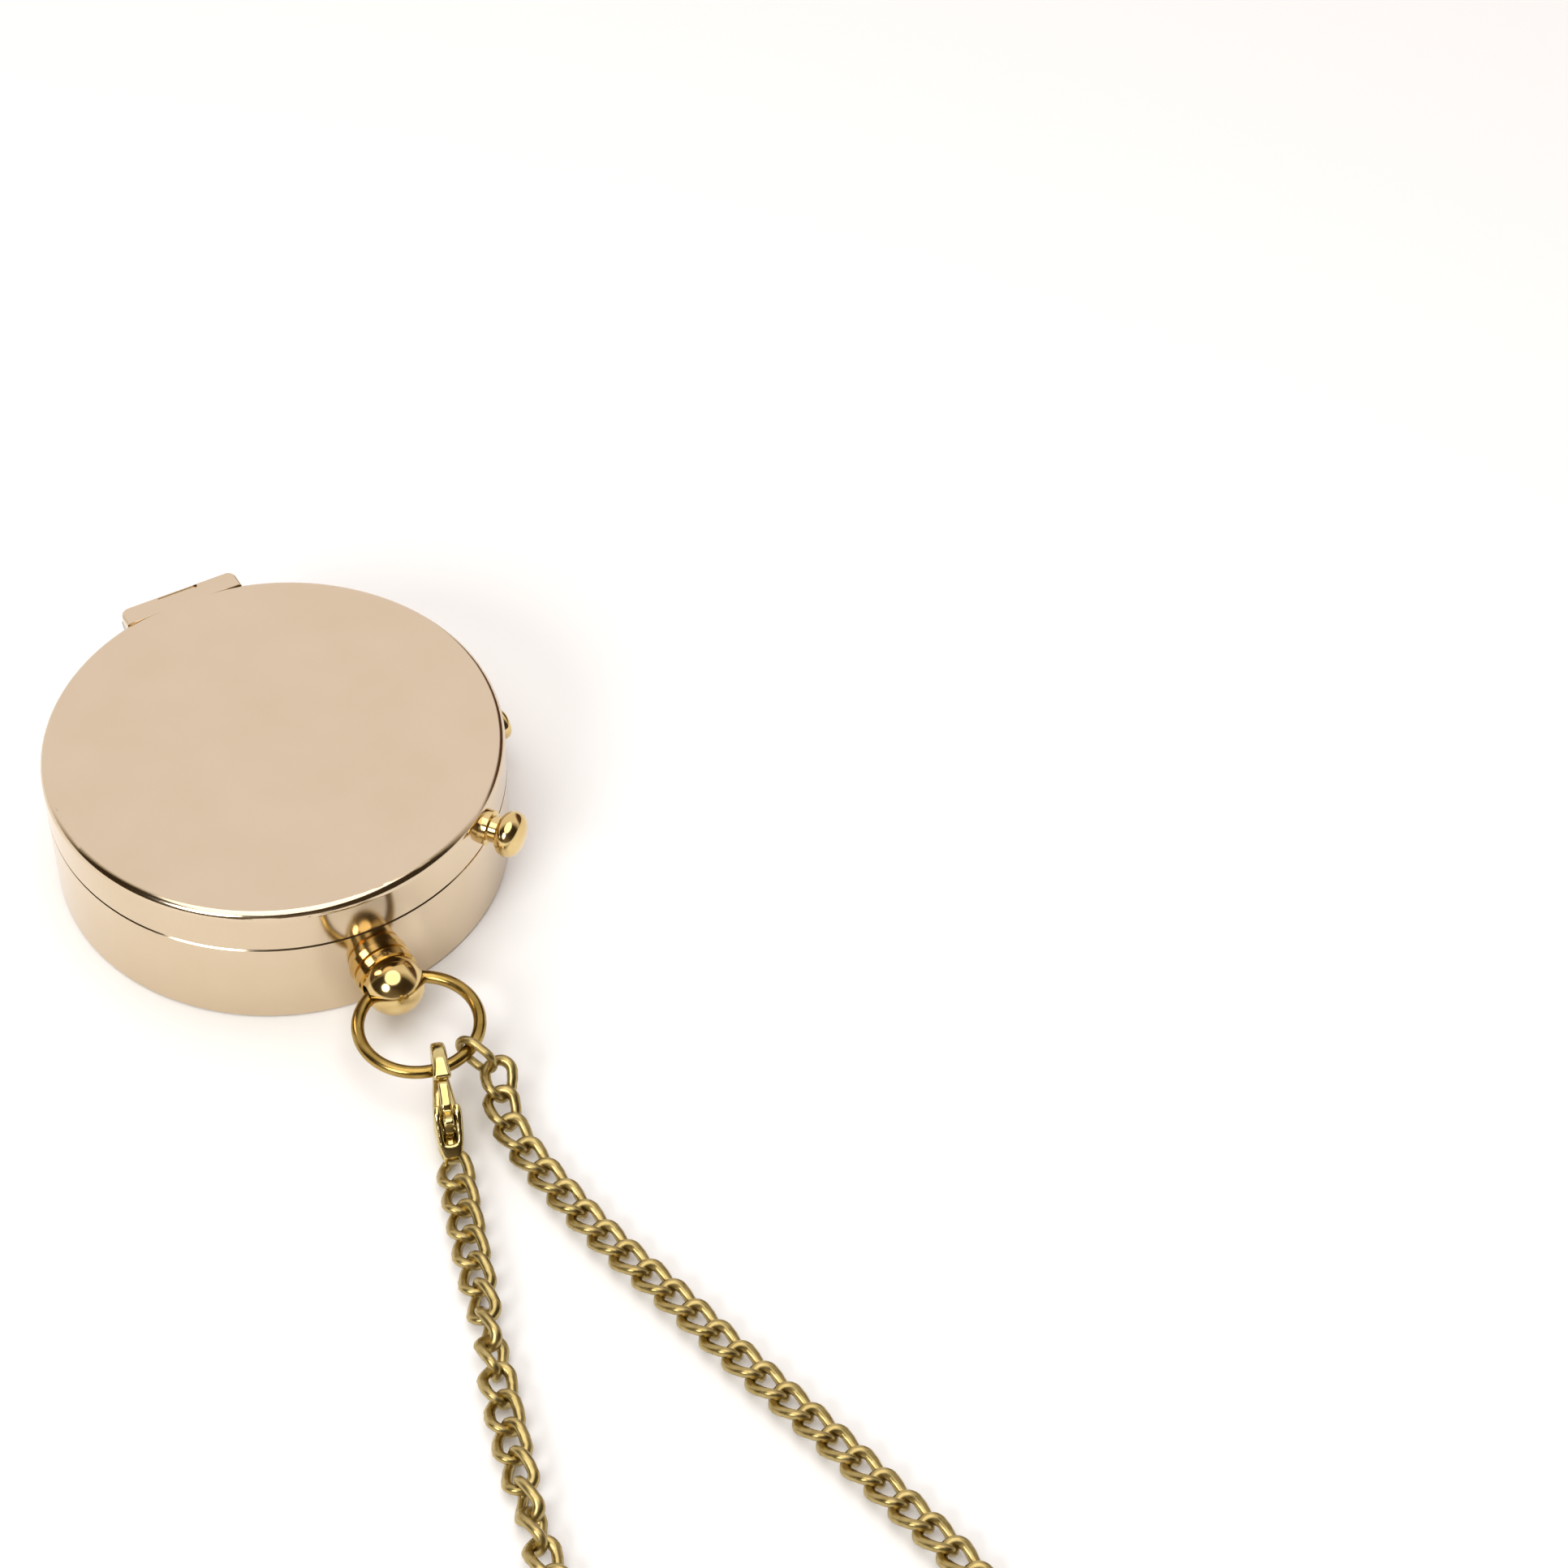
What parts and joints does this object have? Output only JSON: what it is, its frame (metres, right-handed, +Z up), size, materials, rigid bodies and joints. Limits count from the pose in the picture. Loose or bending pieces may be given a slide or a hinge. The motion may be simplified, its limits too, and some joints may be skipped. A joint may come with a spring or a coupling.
{
  "type": "handheld bearing compass",
  "caption": "Round brass pocket bearing compass with hinged lid, side lock knob, pendant with swinging bow ring, and a curb chain ending in a lobster clasp.",
  "frame": {"origin": "centre of the flat underside of the case", "axes": "+Z up through the lid, -Y towards the pendant, +Y towards the lid hinge"},
  "size_m": [0.0805, 0.2477, 0.0254],
  "materials": {
    "case_brass": "mirror polished yellow brass, lightly lacquered",
    "inner_brass": "turned brass, as machined",
    "chain_brass": "satin antique brass",
    "clasp_brass": "cast and tumbled brass, bright",
    "steel": "bright steel",
    "blued_steel": "blued steel with a lacquered north tip",
    "dial_enamel": "cream lacquer on a brass plate",
    "degree_silver": "silvered and lacquered degree ring",
    "gasket_cork": "black sealing ring",
    "crystal_glass": "clear flat glass",
    "jewel": "polished agate cap",
    "mirror_glass": "silvered glass"
  },
  "bodies": {
    "case": {"case_body": "case_brass", "dial_plate": "dial_enamel", "chapter_ring": "degree_silver", "crystal_gasket": "gasket_cork", "crystal": "crystal_glass", "bezel_ring": "case_brass", "pivot_post": "steel", "lock_bush": "case_brass", "lock_spring": "steel", "lever_bracket": "inner_brass", "movement_screws": "steel", "hinge_screws": "inner_brass", "body_hinge_knuckle": "case_brass", "lid_catch_spring": "steel", "pendant": "case_brass", "pendant_nut": "inner_brass"},
    "lid": {"lid_shell": "case_brass", "lid_mirror": "mirror_glass", "lid_mirror_ring": "inner_brass", "lid_stud": "case_brass", "lid_stud_nut": "inner_brass", "lid_hinge_lug": "case_brass", "hinge_pin": "steel"},
    "lock_plunger": {"lock_knob": "case_brass", "lock_clip": "steel"},
    "lock_lever": {"lift_lever": "inner_brass", "lever_pin": "steel"},
    "sleeve": {"lift_sleeve": "inner_brass"},
    "needle": {"needle_hub": "inner_brass", "needle_jewel": "jewel", "needle_blade": "blued_steel", "needle_counterweight": "inner_brass"},
    "bow": {"bow_ring": "chain_brass"},
    "chain": {"chain_tube": "chain_brass", "chain_end_link": "chain_brass", "clasp_body": "clasp_brass", "clasp_rivet": "clasp_brass", "clasp_spring": "steel"},
    "gate": {"clasp_lever": "clasp_brass"}
  },
  "joints": [
    {"name": "lid_hinge", "type": "hinge", "parent": "case", "child": "lid", "pos_m": [0, 0.0387, 0.0229], "axis": [-1, 0, 0], "range_deg": [0, 100]},
    {"name": "lock_slide", "type": "slide", "parent": "case", "child": "lock_plunger", "axis": [-1, 0, 0], "range_m": [0, 0.0012], "stiffness_N_per_m": 400, "springref_m": -0.001, "deforming": ["lock_spring"]},
    {"name": "lock_lever_tilt", "type": "hinge", "parent": "case", "child": "lock_lever", "pos_m": [0.017, 0, 0.007], "axis": [0, 1, 0], "range_deg": [0, 2.05]},
    {"name": "sleeve_lift", "type": "slide", "parent": "case", "child": "sleeve", "axis": [0, 0, 1], "range_m": [0, 0.00051]},
    {"name": "needle_spin", "type": "hinge", "parent": "sleeve", "child": "needle", "pos_m": [0, 0, 0.0134], "axis": [0, 0, 1], "continuous": true},
    {"name": "bow_swing", "type": "hinge", "parent": "case", "child": "bow", "pos_m": [0, -0.0435, 0.0085], "axis": [-1, 0, 0], "range_deg": [-35, 35]},
    {"name": "chain_follow", "type": "hinge", "parent": "bow", "child": "chain", "pos_m": [0, -0.06114, 0.0085], "axis": [-1, 0, 0], "range_deg": [-36, 36]},
    {"name": "clasp_gate", "type": "hinge", "parent": "chain", "child": "gate", "pos_m": [-0.0042, -0.07169, 0.0054], "axis": [-0.9461, 0.324, 0], "range_deg": [0, 18], "stiffness_Nm_per_rad": 0.02, "springref_deg": -11.46, "deforming": ["clasp_spring"]}
  ],
  "couplings": [
    {"joint": "lock_lever_tilt", "follows": "lock_slide", "rad_per_m": 29.08},
    {"joint": "sleeve_lift", "follows": "lock_slide", "ratio": 0.4166},
    {"joint": "chain_follow", "follows": "bow_swing", "ratio": -1}
  ]
}
